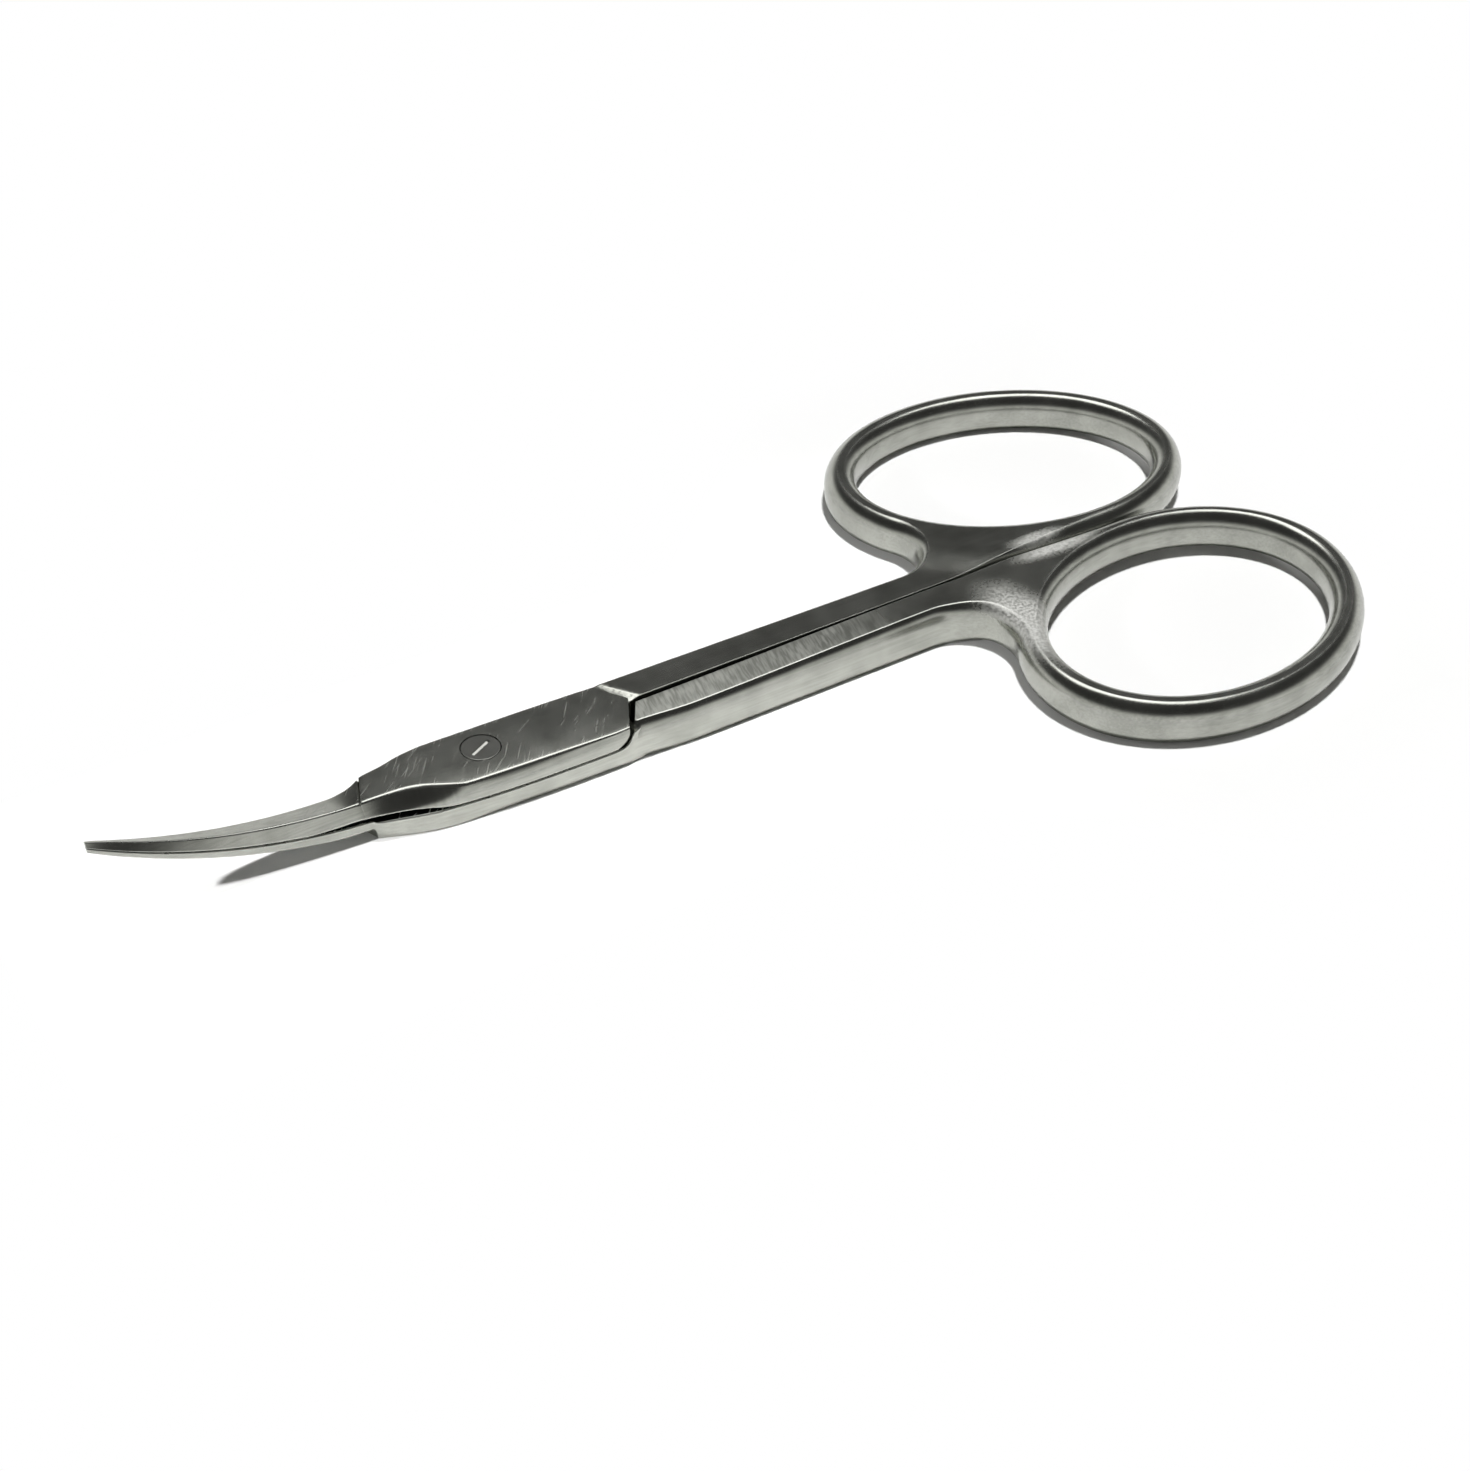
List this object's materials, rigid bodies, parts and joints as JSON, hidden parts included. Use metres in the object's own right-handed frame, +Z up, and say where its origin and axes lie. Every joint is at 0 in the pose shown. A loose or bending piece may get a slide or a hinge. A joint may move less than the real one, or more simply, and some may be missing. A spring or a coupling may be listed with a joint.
{
  "type": "cuticle scissors",
  "caption": "Slim satin steel cuticle scissors with upward-curved pointed blades, a flush slotted pivot screw and oval finger rings; the upper half opens about the screw.",
  "frame": {"origin": "on the table plane, midway between the blade tips and the far end of the longer handle, on the seam between the handles", "axes": "+X from the blade tips to the finger rings, +Y towards the upper half's ring, +Z up along the pivot axis"},
  "size_m": [0.09, 0.0444, 0.0071],
  "materials": {
    "satin_steel": "satin ground stainless steel with fine scratches",
    "screw_steel": "ground flush with the block, slotted"
  },
  "bodies": {
    "lower_half": {"lower_half": "satin_steel", "pivot_screw": "screw_steel"},
    "upper_half": {"upper_half": "satin_steel"}
  },
  "joints": [
    {"name": "blade_pivot", "type": "hinge", "parent": "lower_half", "child": "upper_half", "pos_m": [-0.0191, 0.001, 0.0015], "axis": [0, 0, 1], "range_deg": [0, 50]}
  ]
}
